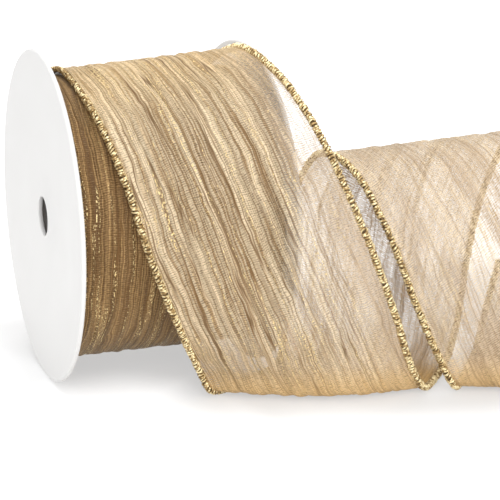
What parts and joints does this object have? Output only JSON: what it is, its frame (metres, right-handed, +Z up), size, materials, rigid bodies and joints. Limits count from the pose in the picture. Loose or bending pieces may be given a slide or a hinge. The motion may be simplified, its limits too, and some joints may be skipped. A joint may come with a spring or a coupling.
{
  "type": "ribbon spool",
  "caption": "Flanged spool of wide sheer wired ribbon on a core tube, its free end drawn over the rim and curled out in standing loops; the spool turns about its bore.",
  "frame": {"origin": "middle of the whole object's box, on the surface it stands on", "axes": "+X along the spool's axis towards the free end of the ribbon, +Y away from the side where the ribbon comes off, +Z up"},
  "size_m": [0.2206, 0.1298, 0.1107],
  "materials": {
    "white_flange": "smooth satin white",
    "core_card": "raw spiral-wound card",
    "tape_paper": "matt paper tape",
    "gold_organza": "sheer crinkled organza with metallic threads",
    "gold_thread": "overlocked metallic thread",
    "edge_wire_metal": "thin drawn wire"
  },
  "bodies": {
    "ribbon_tail": {"ribbon_cloth": "gold_organza", "left_edge_thread": "gold_thread", "right_edge_thread": "gold_thread", "left_edge_wire": "edge_wire_metal", "right_edge_wire": "edge_wire_metal"},
    "spool": {"left_flange": "white_flange", "right_flange": "white_flange", "core_tube": "core_card", "inner_end_tape": "tape_paper", "ribbon_pack": "gold_organza"}
  },
  "joints": [
    {"name": "spool_spin", "type": "hinge", "parent": "ribbon_tail", "child": "spool", "pos_m": [-0.07449, 0.00997, 0.05495], "axis": [1, 0, 0], "continuous": true}
  ]
}
